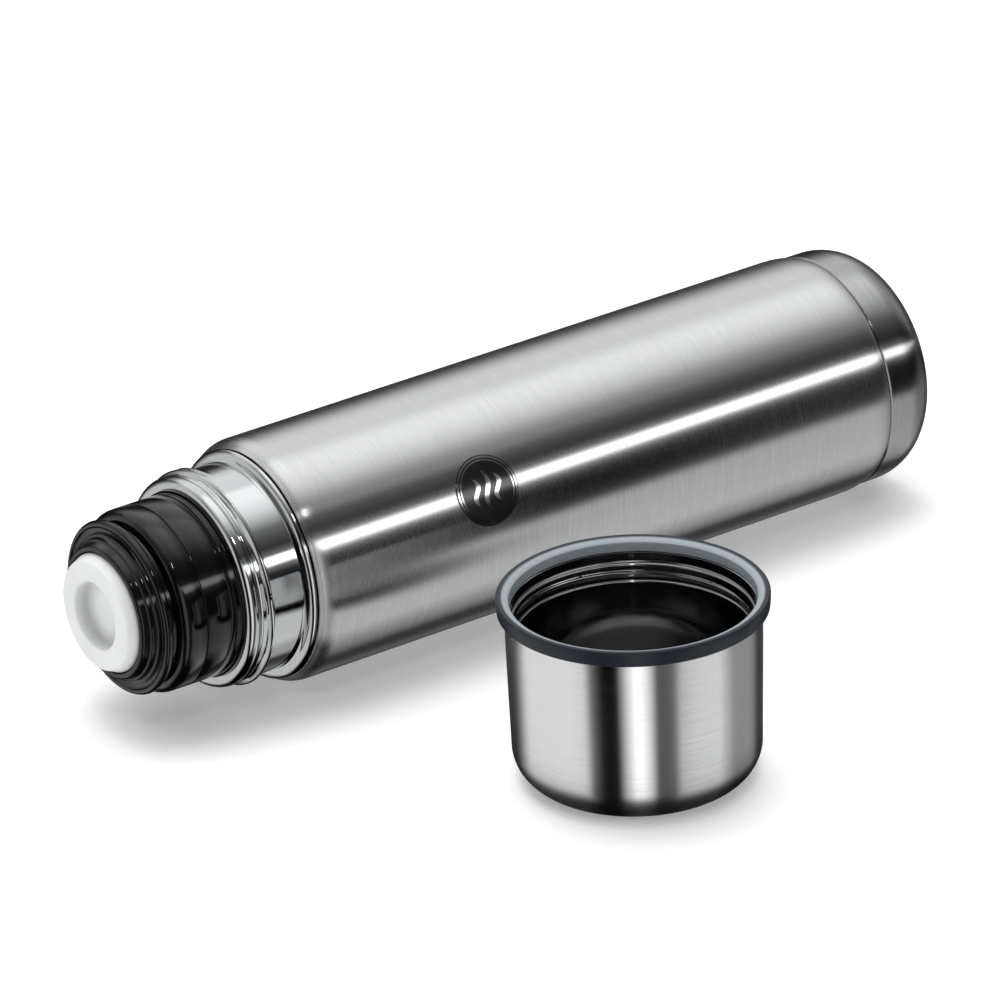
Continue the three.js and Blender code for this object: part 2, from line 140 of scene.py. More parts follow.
def add_mesh(name, verts, faces, material):
    mesh = bpy.data.meshes.new(name)
    mesh.from_pydata([tuple(v) for v in verts], [], faces)
    mesh.materials.append(material)
    obj = bpy.data.objects.new(name, mesh)
    bpy.context.scene.collection.objects.link(obj)
    return obj


def make(name, verts, faces, material, body, replaces=(), sharp=SHARP):
    """A closed piece of the object that moves with body and stands in for the replaced CAD nodes."""
    if volume(verts, faces) < 0:
        faces = [f[::-1] for f in faces]
    obj = add_mesh(name, verts, faces, material)
    obj.data.validate()
    obj.data.update()
    obj.data.shade_smooth()
    obj.data.set_sharp_from_angle(angle=math.radians(sharp))
    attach(obj, body)
    if replaces:
        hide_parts(*replaces)
    return obj


def lathe(name, axis, outline, material, body, replaces, relief=None, sides=AROUND):
    """A closed solid turned from an outline; relief(height, radius, angle) gives the radius to use."""
    verts, rings = [], []
    for h, r in outline:
        if r < ON_AXIS:
            rings.append([len(verts)] * sides)
            verts.append(axis.point(h, 0, 0))
            continue
        rings.append(list(range(len(verts), len(verts) + sides)))
        for k in range(sides):
            angle = TURN * k / sides
            radius = relief(h, r, angle) if relief else r
            verts.append(axis.point(h, radius, angle))
    faces = []
    closed = outline[0][1] > ON_AXIS or outline[-1][1] > ON_AXIS
    for i in range(len(rings) if closed else len(rings) - 1):
        a, b = rings[i], rings[(i + 1) % len(rings)]
        for k in range(sides):
            m = (k + 1) % sides
            face = list(dict.fromkeys((a[k], a[m], b[m], b[k])))
            if len(face) > 2:
                faces.append(face)
    return make(name, verts, faces, material, body, replaces)


def smooth(t):
    t = min(1.0, max(0.0, t))
    return t * t * (3 - 2 * t)


CREST = 1.3  # how narrow a thread's crest is


def thread(pitch, start, turns, depth, width, low, high, radius_range, fade=0.12):
    """Relief for one rolled helical ridge; a negative depth grows towards the axis."""

    def relief(height, radius, angle):
        if not (low <= height <= high and radius_range[0] <= radius <= radius_range[1]):
            return radius
        lift = 0.0
        for lap in range(int(turns) + 2):
            travelled = angle / TURN + lap
            if travelled > turns:
                break
            ends = smooth(travelled / fade) * smooth((turns - travelled) / fade)
            offset = abs(height - (start + travelled * pitch)) / (width / 2)
            if offset < 1:
                lift = max(lift, ends * math.cos(offset * math.pi / 2) ** CREST)
        return radius + depth * lift

    return relief


# ---- Material helpers ------------------------------------------------------------------------------------

# The colour sockets of Blender's Mix node
MIX_FACTOR, MIX_FIRST, MIX_SECOND, MIX_RESULT = 0, 6, 7, 2

# Stretches of a noise's values that are spread over a material's range
MIDDLE = (0.35, 0.65)
GRAIN = (0.36, 0.64)
WIDE = (0.3, 0.7)
MARKS = (0.35, 0.75)


class Nodes:
    """Adds and links the nodes of one tree."""

    def __init__(self, tree):
        self.tree = tree

    def add(self, kind, **values):
        node = self.tree.nodes.new(kind)
        for key, value in values.items():
            setattr(node, key, value)
        return node

    def link(self, a, b):
        self.tree.links.new(a, b)

    def math(self, operation, a, b):
        node = self.add("ShaderNodeMath", operation=operation)
        for socket, value in zip(node.inputs, (a, b)):
            if isinstance(value, (int, float)):
                socket.default_value = value
            else:
                self.link(value, socket)
        return node.outputs[0]

    def noise(self, vector, scale, detail=2.0, roughness=0.5):
        node = self.add("ShaderNodeTexNoise")
        node.inputs["Scale"].default_value = scale
        node.inputs["Detail"].default_value = detail
        node.inputs["Roughness"].default_value = roughness
        self.link(vector, node.inputs["Vector"])
        return node.outputs["Fac"]

    def stretched(self, vector, scale):
        node = self.add("ShaderNodeMapping")
        node.inputs["Scale"].default_value = scale
        self.link(vector, node.inputs["Vector"])
        return node.outputs["Vector"]

    def range(self, value, low, high, to_low, to_high):
        node = self.add("ShaderNodeMapRange")
        for key, number in zip(("From Min", "From Max", "To Min", "To Max"), (low, high, to_low, to_high)):
            node.inputs[key].default_value = number
        self.link(value, node.inputs["Value"])
        return node.outputs["Result"]

    def ramp(self, value, stops):
        node = self.add("ShaderNodeValToRGB")
        points = node.color_ramp.elements
        while len(points) > 1:
            points.remove(points[-1])
        for i, (place, level) in enumerate(stops):
            point = points[0] if i == 0 else points.new(place)
            point.position = place
            point.color = (level, level, level, 1)
        self.link(value, node.inputs["Fac"])
        return node.outputs["Color"]

    def mix(self, factor, first, second):
        """A mix of two colours, each a tuple or another node's output."""
        node = self.add("ShaderNodeMix", data_type="RGBA")
        for place, colour in ((MIX_FIRST, first), (MIX_SECOND, second)):
            if isinstance(colour, tuple):
                node.inputs[place].default_value = (*colour, 1)
            else:
                self.link(colour, node.inputs[place])
        self.link(factor, node.inputs[MIX_FACTOR])
        return node.outputs[MIX_RESULT]

    def distance(self, place, centre):
        node = self.add("ShaderNodeVectorMath", operation="DISTANCE")
        node.inputs[1].default_value = centre
        self.link(place, node.inputs[0])
        return node.outputs["Value"]

    def dimmed(self, colour, factor):
        node = self.add("ShaderNodeVectorMath", operation="SCALE")
        self.link(colour, node.inputs[0])
        self.link(factor, node.inputs["Scale"])
        return node.outputs[0]

    def bump(self, height, strength, distance):
        node = self.add("ShaderNodeBump")
        node.inputs["Strength"].default_value = strength
        node.inputs["Distance"].default_value = distance
        self.link(height, node.inputs["Height"])
        return node.outputs["Normal"]


def new_material(name):
    material = bpy.data.materials.new(name)
    material.use_nodes = True
    nodes = Nodes(material.node_tree)
    shader = next(n for n in material.node_tree.nodes if n.type == "BSDF_PRINCIPLED")
    place = nodes.add("ShaderNodeTexCoord").outputs["Object"]
    return material, nodes, shader, place


def shader_set(shader, **values):
    for key, value in values.items():
        shader.inputs[key.replace("_", " ")].default_value = value


def grain_scale(axis, narrow, long):
    """Noise scales for streaks that are narrow along the turning axis and long round it."""
    scale = [long] * 3
    scale["XYZ".index(axis)] = narrow
    return scale


def brushed_steel(name, axis, dark, light, roughness=0.25):
    """Grain that runs round the axis: fine scratches and broader streaks, both narrow along the axis."""
    uneven = 0.05
    fine_share, broad_share = 0.65, 0.35
    material, nodes, shader, place = new_material(name)
    shader_set(shader, Metallic=1.0, Anisotropic=1.0, Anisotropic_Rotation=0.25)
    scratches = nodes.stretched(place, grain_scale(axis, 9000.0, 90.0))
    streaks = nodes.stretched(place, grain_scale(axis, 3000.0, 30.0))
    fine = nodes.noise(scratches, 1.0, detail=3.0, roughness=0.6)
    broad = nodes.noise(streaks, 1.0, detail=3.0, roughness=0.55)
    both = nodes.math(
        "ADD", nodes.math("MULTIPLY", fine, fine_share), nodes.math("MULTIPLY", broad, broad_share)
    )
    shade = nodes.range(both, *GRAIN, 0.0, 1.0)
    gloss = nodes.range(both, *WIDE, roughness + uneven, roughness - uneven)
    tangent = nodes.add("ShaderNodeTangent", direction_type="RADIAL", axis=axis).outputs[0]
    nodes.link(nodes.mix(shade, dark, light), shader.inputs["Base Color"])
    nodes.link(gloss, shader.inputs["Roughness"])
    nodes.link(tangent, shader.inputs["Tangent"])
    return material


def polished_metal(name, dark, light, roughness=0.05):
    """Smooth metal with faint clouds and fine marks across the flask's axis."""
    uneven = 0.05
    mark_scale = (2600.0, 120.0, 120.0)
    material, nodes, shader, place = new_material(name)
    shader_set(shader, Metallic=1.0)
    cloud = nodes.noise(place, 90.0, detail=3.0)
    marks = nodes.noise(nodes.stretched(place, mark_scale), 1.0)
    nodes.link(nodes.mix(cloud, dark, light), shader.inputs["Base Color"])
    nodes.link(nodes.range(marks, *MARKS, roughness, roughness + uneven), shader.inputs["Roughness"])
    nodes.link(nodes.bump(cloud, strength=0.03, distance=0.3 * MM), shader.inputs["Normal"])
    return material


def moulded(name, dark, light, rough=(0.08, 0.14), grain=900.0, bump=0.02, painted_hollow_shade=False, **sockets):
    """Moulded plastic or rubber with faint clouds, uneven gloss and a fine skin; when asked, hollows get
    painted shade, the base colour darkened by ambient occlusion.
    """
    painted_shade_reach = 6 * MM
    material, nodes, shader, place = new_material(name)
    shader_set(shader, **sockets)
    cloud = nodes.noise(place, 60.0, detail=3.0)
    skin = nodes.noise(place, grain)
    colour = nodes.mix(nodes.range(cloud, *MIDDLE, 0.0, 1.0), dark, light)
    if painted_hollow_shade:
        # Painted shade: hollows and recesses darken the base colour through ambient occlusion.
        painted_shade = nodes.add("ShaderNodeAmbientOcclusion", samples=8)
        painted_shade.inputs["Distance"].default_value = painted_shade_reach
        nodes.link(colour, painted_shade.inputs["Color"])
        colour = painted_shade.outputs["Color"]
    nodes.link(colour, shader.inputs["Base Color"])
    nodes.link(nodes.range(cloud, *WIDE, *rough), shader.inputs["Roughness"])
    nodes.link(nodes.bump(skin, strength=bump, distance=0.2 * MM), shader.inputs["Normal"])
    return material


def rim_plastic():
    """Dark blue-grey band, with the top painted pale as painted light from above; the pale top starts a
    little inside the outer edge.
    """
    lit_top_to, dark_from = 40.1 * MM, 40.9 * MM
    material, nodes, shader, place = new_material("rim_plastic")
    shader_set(shader, Specular_IOR_Level=0.2)
    grain = nodes.noise(place, 2600.0, detail=3.0, roughness=0.6)
    speckle = nodes.range(grain, *MIDDLE, 0.0, 1.0)
    band = nodes.mix(speckle, (0.008, 0.011, 0.016), (0.013, 0.017, 0.024))
    # Painted light: the top's pale colour stands for the light falling on it from above; the band keeps the
    # ring's own dark blue-grey.
    top = nodes.mix(speckle, (0.27, 0.305, 0.335), (0.34, 0.375, 0.405))
    flat = nodes.add("ShaderNodeVectorMath", operation="MULTIPLY")
    flat.inputs[1].default_value = (1.0, 1.0, 0.0)
    nodes.link(place, flat.inputs[0])
    from_axis = nodes.distance(flat.outputs[0], (CUP.origin.x, CUP.origin.y, 0.0))
    # Mask of the painted light: pale inside the outer edge, dark band outside it.
    inner = nodes.range(from_axis, lit_top_to, dark_from, 1.0, 0.0)
    nodes.link(nodes.mix(inner, band, top), shader.inputs["Base Color"])
    nodes.link(nodes.range(grain, *WIDE, 0.26, 0.34), shader.inputs["Roughness"])
    nodes.link(nodes.bump(grain, strength=0.08, distance=0.2 * MM), shader.inputs["Normal"])
    return material


# ---- Materials: each with its darker and lighter colour --------------------------------------------------

FLASK_STEEL = brushed_steel("flask_brushed_steel", "X", (0.45, 0.454, 0.458), (0.49, 0.495, 0.499))
BASE_STEEL = brushed_steel("base_brushed_steel", "X", (0.28, 0.283, 0.285), (0.32, 0.324, 0.326), 0.19)
# Painted light: the cup's brushed steel is painted lighter than the flask's, standing for the brighter light
# on the cup.
CUP_STEEL_PAINTED_LIGHTER = brushed_steel("cup_brushed_steel", "Z", (0.69, 0.695, 0.70), (0.73, 0.735, 0.74), 0.21)
CHROME = polished_metal("polished_steel", (0.44, 0.45, 0.455), (0.48, 0.49, 0.495))
LINER_STEEL = polished_metal("liner_steel", (0.42, 0.42, 0.415), (0.52, 0.52, 0.515), 0.28)
FOIL = polished_metal("copper_foil", (0.62, 0.30, 0.18), (0.72, 0.38, 0.24), 0.22)
BLACK = moulded(
    "gloss_black_plastic",
    (0.0015, 0.0015, 0.002),
    (0.003, 0.003, 0.0035),
    (0.05, 0.09),
    Specular_IOR_Level=0.36,
)
LINING = moulded("black_lining", (0.002, 0.002, 0.003), (0.003, 0.003, 0.0045), (0.05, 0.09), IOR=2.7)
# The white plastic gets painted shade in its hollows.
WHITE = moulded(
    "white_plastic", (0.70, 0.71, 0.715), (0.75, 0.76, 0.765), (0.28, 0.38), bump=0.03, painted_hollow_shade=True
)
RIM = rim_plastic()
SILICONE = moulded("silicone", (0.58, 0.58, 0.55), (0.66, 0.66, 0.63), (0.50, 0.60), bump=0.04)
FOAM = moulded("foam", (0.66, 0.60, 0.46), (0.76, 0.71, 0.58), (0.85, 0.95), 1400.0, 0.35)
RUBBER = moulded("grey_rubber", (0.10, 0.10, 0.105), (0.15, 0.15, 0.155), (0.60, 0.75), bump=0.08)
ENAMEL = moulded("badge_enamel", (0.006, 0.006, 0.007), (0.011, 0.011, 0.012), (0.12, 0.18))
GETTER = moulded("getter_tablet", (0.16, 0.155, 0.15), (0.24, 0.235, 0.225), (0.70, 0.85), 1200.0, 0.3)

# ---- Flask body ------------------------------------------------------------------------------------------

FLASK_RADIUS = 40.0
STEEL = 0.5
SEAM = 21.6  # base cup to outer shell
SHOULDER = 248.0  # where the outer shell ends at the neck's fold
LEDGE = 260.4  # seat of the neck gasket
MOUTH = 272.0
THREAD_STEP = 0.3


def flask_shell():
    bend, drop = 242.0, 3.5
    outer = [(22.0, 38.95), (22.25, 39.1), (24.5, 39.62), (27.0, 39.92), (30.0, FLASK_RADIUS)]
    outer += arc((bend, FLASK_RADIUS - drop), (6.0, drop), 0, 62, 10)
    outer += [(247.7, 37.95), (SHOULDER, 37.6)]
    inner = [(247.6, 37.3)]
    inner += arc((bend, FLASK_RADIUS - STEEL - drop), (5.4, drop), 62, 0, 8)[1:]
    inner += [(27.4, 39.45), (22.0, 38.95 - STEEL)]
    outline = outer + inner
    lathe("flask_shell_fine", FLASK, outline, FLASK_STEEL, "flask_body", ["outer_shell"])


def flask_base():
    wall, bend, foot = 39.1, 14.0, 26.0
    outer = [(1.2, 0.0), (1.2, 18.2), (1.05, 18.8), (0.35, 19.5), (0.05, 20.2), (0.0, 21.0)]
    outer += arc((bend, foot), (-bend, wall - foot), 90, 0, 16)
    outer += [(21.2, wall), (SEAM, wall - 0.3)]
    inner = [(SEAM, wall - 0.55)]
    inner += arc((bend, foot), (STEEL - bend, wall - foot - 0.55), 0, 90, 12)
    inner += [(0.5, 20.3), (1.7, 19.1), (1.7, 0.0)]
    outline = outer + inner
    lathe("flask_base_fine", FLASK, outline, BASE_STEEL, "flask_body", ["base_cup"])


def flask_neck():
    wall, bore = 34.0, 33.35
    outer = [(248.3, 37.3)] + arc((248.6, 34.5), (2.2, 3.2), 12, 84, 8)
    outer += [(251.1, 34.12), (251.6, wall)] + along_line(251.9, THREAD_STEP, 50, wall)
    outer += [(266.9, 33.7), (267.2, 33.62), (267.6, 33.85), (268.1, 34.2)]
    outer += arc((268.9, 31.75), (3.05, 2.7), 0, 90, 12)
    outer += [(271.92, 31.1), (271.8, 30.5)]
    inner = [(271.5, 31.1), (270.4, 32.2), (268.6, 32.9)]
    inner += along_line(266.9, -THREAD_STEP, 50, bore)
    inner += [(250.6, 33.5), (249.2, 34.6), (248.3, 36.4)]
    cup_thread = thread(4.0, 260.9, 1.45, 1.6, 2.6, 258.0, 268.0, (33.0, 34.1), 0.1)
    lathe(
        "neck_collar_fine",
        FLASK,
        outer + inner,
        CHROME,
        "flask_body",
        ["neck_collar"],
        cup_thread,
        AROUND_NECK,
    )


BOTTLE_RADIUS = 36.2


def bottle_liner():
    seam, bend = 24.8, 233.0
    neck, bore, lip = 28.5, 28.0, 31.7
    swell = BOTTLE_RADIUS - neck
    outer = [(seam, BOTTLE_RADIUS)] + arc((bend, neck), (12.0, swell), 0, 90, 10)
    outer += [(LEDGE - STEEL, neck), (LEDGE - STEEL, lip - 0.6), (260.8, lip), (268.4, lip)]
    outer += [(270.2, 31.35), (271.0, 31.1)]
    inner = [(271.3, 30.85), (271.0, 30.75), (270.0, 30.85), (268.0, lip - STEEL), (261.0, lip - STEEL)]
    inner += [(LEDGE, 30.6), (LEDGE, 28.2)] + along_line(260.1, -0.35, 42, bore)
    inner += arc((bend, bore), (11.5, swell), 90, 0, 10)[1:] + [(seam, BOTTLE_RADIUS - STEEL)]
    worm = thread(5.0, 248.2, 1.9, -1.55, 1.9, 244.0, 260.2, (bore - 0.1, bore + 0.1))
    lathe(
        "bottle_liner_fine",
        FLASK,
        outer + inner,
        LINER_STEEL,
        "flask_body",
        ["inner_liner"],
        worm,
        AROUND_LINER,
    )


def liner_bottom():
    seam, bend = 24.5, 9.0
    centre = (21.5, BOTTLE_RADIUS - bend)
    outline = [(12.5, 0.0)] + arc(centre, (-bend, bend), 90, 0, 10)
    outline += [(seam, BOTTLE_RADIUS), (seam, BOTTLE_RADIUS - STEEL)]
    outline += arc(centre, (STEEL - bend, bend - STEEL), 0, 90, 10) + [(13.0, 0.0)]
    lathe("liner_bottom_fine", FLASK, outline, LINER_STEEL, "flask_body", ["liner_bottom"])


# ---- Stopper ---------------------------------------------------------------------------------------------

GRIP_RADIUS = 29.95
GRIP_START = MOUTH - 3.0
GRIP_GROOVES = (274.2, 284.8)
BULKHEAD, BULKHEAD_TOP = 275.0, 277.0  # the floor inside the grip


def stopper_grip():
    round_edge = 3.6
    tube_out, tube_in = 21.7, 20.3
    wall_in, bulkhead_edge = 28.0, 26.0
    seat, hole = 5.6, 3.3
    outline = [(GRIP_START, GRIP_RADIUS - 0.4), (GRIP_START + 0.4, GRIP_RADIUS)]
    for groove in GRIP_GROOVES:
        half = [(0.42, 0.0), (0.22, 0.12), (0.12, 0.42)]  # (offset, depth)
        outline += [(groove - offset, GRIP_RADIUS - depth) for offset, depth in half]
        outline += [(groove + offset, GRIP_RADIUS - depth) for offset, depth in reversed(half)]
    outline += arc((289.6, GRIP_RADIUS - round_edge), (4.0, round_edge), 0, 90, 12)
    outline += [(293.5, 25.6), (290.6, wall_in), (BULKHEAD_TOP, wall_in), (BULKHEAD_TOP, tube_out)]
    outline += [(292.4, tube_out), (292.6, 21.4), (292.6, 20.5), (292.4, tube_in), (BULKHEAD_TOP, tube_in)]
    outline += [(BULKHEAD_TOP, seat), (275.6, seat), (275.6, hole), (BULKHEAD, hole)]
    outline += [(BULKHEAD, bulkhead_edge), (GRIP_START, bulkhead_edge)]
    lathe("stopper_grip_fine", FLASK, outline, BLACK, "stopper", ["stopper_grip"])


def top_ring():
    bore = 19.9
    outline = [(293.9, bore), (293.9, 25.7), (294.6, 25.55), (295.3, 25.6), (295.7, 26.4), (296.0, 27.2)]
    outline += arc((297.6, 26.8), (1.65, 1.65), -55, 62, 10)
    outline += [(299.15, 27.2), (299.05, 26.75), (298.65, 26.4), (298.3, 25.9), (298.2, 25.2), (298.25, 24.7)]
    outline += [(298.7, 24.45), (299.4, 24.3), (299.6, 24.0), (299.65, 23.5), (300.1, 23.25), (301.0, 23.1)]
    outline += [(301.25, 22.85), (301.35, 22.45), (301.8, 22.2), (303.0, 22.0), (303.5, 21.75), (303.9, 21.3)]
    outline += [(304.1, 20.8), (304.05, 20.3), (303.7, bore)]
    lathe("stopper_top_ring_fine", FLASK, outline, BLACK, "stopper", ["stopper_top_ring"])


def stopper_gasket():
    bore, edge = 28.3, 0.2
    outline = [(260.7, bore), (260.7, 30.0), (261.5, 30.55), (262.15, 30.2), (262.2, bore)]
    outline = softened(outline, edge, 3)
    lathe("neck_gasket_fine", FLASK, outline, SILICONE, "stopper_carrier", ["neck_gasket"])


# ---- Button ----------------------------------------------------------------------------------------------


def push_button():
    top_underside = 301.4
    skirt_end, skirt_out, skirt_in = 291.0, 19.5, 17.9
    boss_end, boss_out, boss_in = 296.4, 5.6, 3.1
    outline = [(302.75, 0.0), (302.8, 4.0), (302.95, 8.0), (303.1, 9.9), (303.3, 10.35), (303.8, 10.6)]
    outline += [(305.6, 10.95), (306.8, 11.2)]
    outline += arc((306.8, 11.8), (0.6, 0.55), 180, 90, 4)[1:]
    outline += arc((306.45, 17.2), (0.95, 0.95), 90, 18, 7)
    outline += [(305.6, 18.55), (304.4, 19.05), (303.8, 19.4), (303.4, skirt_out), (skirt_end, skirt_out)]
    outline += [(skirt_end, skirt_in), (top_underside, skirt_in), (top_underside, boss_out)]
    outline += [(boss_end, boss_out), (boss_end, boss_in), (top_underside, boss_in), (top_underside, 0.0)]
    lathe(
        "push_button_fine",
        FLASK,
        outline,
        WHITE,
        "button",
        ["push_button"],
        sides=AROUND_BUTTON,
    )


# ---- Cup -------------------------------------------------------------------------------------------------


def cup_shell():
    bend, foot, spread = 12.0, 27.2, 11.7
    brim = 59.2
    outer = [(0.9, 0.0), (0.9, 21.6), (0.75, 22.2), (0.1, 22.8), (0.0, 23.4)]
    outer += arc((bend, foot), (-bend, spread), 90, 0, 18)
    outer += [(18.0, 39.05), (32.0, 39.4), (46.0, 39.72), (57.0, 39.88), (59.0, 39.9), (brim, 39.75)]
    inner = [(brim, 39.4), (32.0, 38.9), (18.0, 38.5)]
    inner += arc((bend, foot), (STEEL - bend, spread - STEEL), 0, 90, 14)
    inner += [(0.6, 23.3), (1.4, 22.0), (1.4, 0.0)]
    lathe("cup_shell_fine", CUP, outer + inner, CUP_STEEL_PAINTED_LIGHTER, "cup", ["cup_shell"])


def cup_liner():
    ledge_round = (0.8, -0.8)
    outer = [(2.0, 0.0), (2.0, 24.0)] + arc((12.0, 27.5), (-9.8, 9.8), 80, 0, 10)
    outer += [(32.0, 38.3), (57.3, 38.7)]
    inner = [(57.5, 38.5), (57.3, 38.1), (55.2, 38.0), (54.4, 37.95)]
    inner += arc((53.3, 37.73), ledge_round, 90, 0, 6)
    inner += along_line(53.0, -THREAD_STEP, 13, 36.93)
    inner += [(49.1, 36.9)] + arc((47.9, 36.85), ledge_round, 90, 0, 6) + [(30.0, 35.85), (14.0, 35.6)]
    inner += arc((12.6, 25.6), (-9.0, 9.6), 0, 90, 12) + [(3.5, 12.0), (3.5, 0.0)]
    worm = thread(3.2, 49.6, 0.9, -0.6, 2.0, 48.9, 54.0, (36.0, 37.0))
    lathe("cup_liner_fine", CUP, outer + inner, LINING, "cup", ["cup_liner"], worm)


def cup_rim():
    low, seat, top = 56.9, 40.35, 61.2
    outline = [(low, seat), (low, 41.7), (low + 0.35, 42.1), (low + 2.4, 42.3), (top, 42.35)]
    outline += arc((top, 41.7), (0.68, 0.65), 20, 80, 5)
    outline += [(61.86, 41.2), (61.55, 40.2), (61.25, 39.2), (61.0, 38.75), (60.7, 38.4), (60.2, 38.3)]
    outline += [(57.8, 38.3), (57.6, 38.5), (57.6, 39.0), (59.6, 39.0), (59.6, 40.3), (59.4, seat)]
    lathe("cup_rim_ring_fine", CUP, outline, RIM, "cup", ["cup_rim_ring"])


BUILDERS = (
    flask_shell,
    flask_base,
    flask_neck,
    bottle_liner,
    liner_bottom,
    stopper_grip,
    top_ring,
    stopper_gasket,
    push_button,
    cup_shell,
    cup_liner,
    cup_rim,
)
for build in BUILDERS:
    build()

# ---- Materials of the CAD nodes that stay ----------------------------------------------------------------

KEPT = {
    "outer_bottom_plate": LINER_STEEL,
    "vacuum_seal_bead": LINER_STEEL,
    "getter_tablet": GETTER,
    "foil_wrap": FOIL,
    "stopper_plug": BLACK,
    "insulation_ring": FOAM,
    "latch_cam": WHITE,
    "stem_o_ring": RUBBER,
    "button_spring": LINER_STEEL,
    "valve_stem": WHITE,
    "valve_head": BLACK,
    "valve_seal": SILICONE,
    "latch_rotor": WHITE,
}
for node, material in KEPT.items():
    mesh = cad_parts[node].data
    mesh.materials.clear()
    mesh.materials.append(material)

# ---- Badge: a small round enamel plate with three wisps of steam, bent to the tube -----------------------

BADGE_HEIGHT = 181.0
BADGE_ANGLE = math.radians(-63.0)
BADGE_RADIUS = 11.5
BADGE_FACE = 0.2  # lift of the borders' and wisps' underside, just inside the enamel


def badge_point(across, along, lift):
    """A point on the tube: across goes up round the wall and along goes towards the mouth, both in mm."""
    return FLASK.point(BADGE_HEIGHT + along, FLASK_RADIUS + lift, BADGE_ANGLE + across / FLASK_RADIUS)


def badge_circle(radius, lift):
    angles = [TURN * k / AROUND_DISC for k in range(AROUND_DISC)]
    return [badge_point(radius * math.cos(a), radius * math.sin(a), lift) for a in angles]


def badge_border(name, outer, inner, top):
    """A raised ring on the plate."""
    verts, faces = [], []
    for radius, lift in ((inner, BADGE_FACE), (inner, top), (outer, top), (outer, BADGE_FACE)):
        verts += badge_circle(radius, lift)
    for i in range(4):
        a, b = i * AROUND_DISC, ((i + 1) % 4) * AROUND_DISC
        for k in range(AROUND_DISC):
            m = (k + 1) % AROUND_DISC
            faces.append([a + k, a + m, b + m, b + k])
    make(name, verts, faces, CHROME, "flask_body")


def badge_plate(name, low, high):
    """The enamel disc: two bent faces of several rings each, joined at the edge."""
    rings = 10
    verts, faces = [], []
    for lift in (high, low):
        verts.append(badge_point(0, 0, lift))
        for ring in range(1, rings + 1):
            verts += badge_circle(BADGE_RADIUS * ring / rings, lift)
    layer_size = 1 + rings * AROUND_DISC
    for start in (0, layer_size):
        found = []
        for k in range(AROUND_DISC):
            m = (k + 1) % AROUND_DISC
            found.append([start, start + 1 + k, start + 1 + m])
            for ring in range(rings - 1):
                a = start + 1 + ring * AROUND_DISC
                b = a + AROUND_DISC
                found.append([a + k, b + k, b + m, a + m])
        faces += found if start == 0 else [f[::-1] for f in found]
    top = layer_size - AROUND_DISC
    bottom = top + layer_size
    for k in range(AROUND_DISC):
        m = (k + 1) % AROUND_DISC
        faces.append([top + k, bottom + k, bottom + m, top + m])
    make(name, verts, faces, ENAMEL, "flask_body")


def wisp(name, along, length, width, top):
    """A wavy raised stroke that rises across the badge, widest in its middle."""
    steps, sway = 28, 1.1
    tip_share = 0.35
    verts, faces = [], []
    for i in range(steps + 1):
        t = i / steps
        half = width * (tip_share + (1 - tip_share) * math.sin(math.pi * t)) / 2
        middle = along + sway * math.sin(t * TURN)
        across = (t - 0.5) * length
        for side, lift in ((-half, BADGE_FACE), (-half, top), (half, top), (half, BADGE_FACE)):
            verts.append(badge_point(across, middle + side, lift))
    for i in range(steps):
        for k in range(4):
            m = (k + 1) % 4
            faces.append([4 * i + k, 4 * i + m, 4 * i + 4 + m, 4 * i + 4 + k])
    faces.append([3, 2, 1, 0])
    faces.append([4 * steps + k for k in range(4)])
    make(name, verts, faces, CHROME, "flask_body", sharp=SHARP_WISP)


badge_plate("badge_plate", 0.05, 0.22)
badge_border("badge_outer_border", BADGE_RADIUS - 0.35, BADGE_RADIUS - 1.0, 0.32)
badge_border("badge_inner_border", BADGE_RADIUS - 1.5, BADGE_RADIUS - 1.95, 0.30)
for label, along, length in (("low", -4.0, 9.0), ("middle", 0.0, 13.0), ("high", 4.0, 9.0)):
    wisp(f"badge_wisp_{label}", along, length, 1.9, 0.32)

# ---- Studio: lengths in m --------------------------------------------------------------------------------

FLOOR_HALF = 6.0
FLOOR_GLOW = 0.20


def floor():
    """A white floor that catches shadows but is not seen in reflections; the sky's lower half is."""
    corners = ((-1, -1), (1, -1), (1, 1), (-1, 1))
    verts = [(FLOOR_HALF * x, FLOOR_HALF * y, 0.0) for x, y in corners]
    material, nodes, shader, place = new_material("studio_floor")
    shader_set(shader, Roughness=0.9, Specular_IOR_Level=0.0)
    shader_set(shader, Emission_Color=(1.0, 1.0, 1.0, 1.0), Emission_Strength=FLOOR_GLOW)
    cloud = nodes.noise(place, 3.0)
    nodes.link(nodes.mix(cloud, (0.88, 0.88, 0.88), (0.90, 0.90, 0.90)), shader.inputs["Base Color"])
    obj = add_mesh("studio_floor", verts, [[0, 1, 2, 3]], material)
    obj.visible_glossy = False
    obj.visible_shadow = False


def contact_shade():
    """A painted contact shadow: a dark ring on the floor close round the cup, seen only in reflections."""
    reach, above_floor = 0.070, 0.0003
    dark_to, clear_from = 0.043, 0.060
    centre = Vector((CUP.origin.x, CUP.origin.y, above_floor))
    verts = [centre]
    for k in range(AROUND_DISC):
        a = TURN * k / AROUND_DISC
        verts.append(centre + Vector((reach * math.cos(a), reach * math.sin(a), 0.0)))
    faces = [[0, 1 + k, 1 + (k + 1) % AROUND_DISC] for k in range(AROUND_DISC)]
    material, nodes, shader, place = new_material("contact_shade")
    shader_set(shader, Base_Color=(0.0, 0.0, 0.0, 1.0), Specular_IOR_Level=0.0)
    alpha = nodes.range(nodes.distance(place, centre), dark_to, clear_from, 1.0, 0.0)
    nodes.link(alpha, shader.inputs["Alpha"])
    obj = add_mesh("contact_shade", verts, faces, material)
    obj.visible_camera = False
    obj.visible_diffuse = False
    obj.visible_shadow = False


floor()
contact_shade()

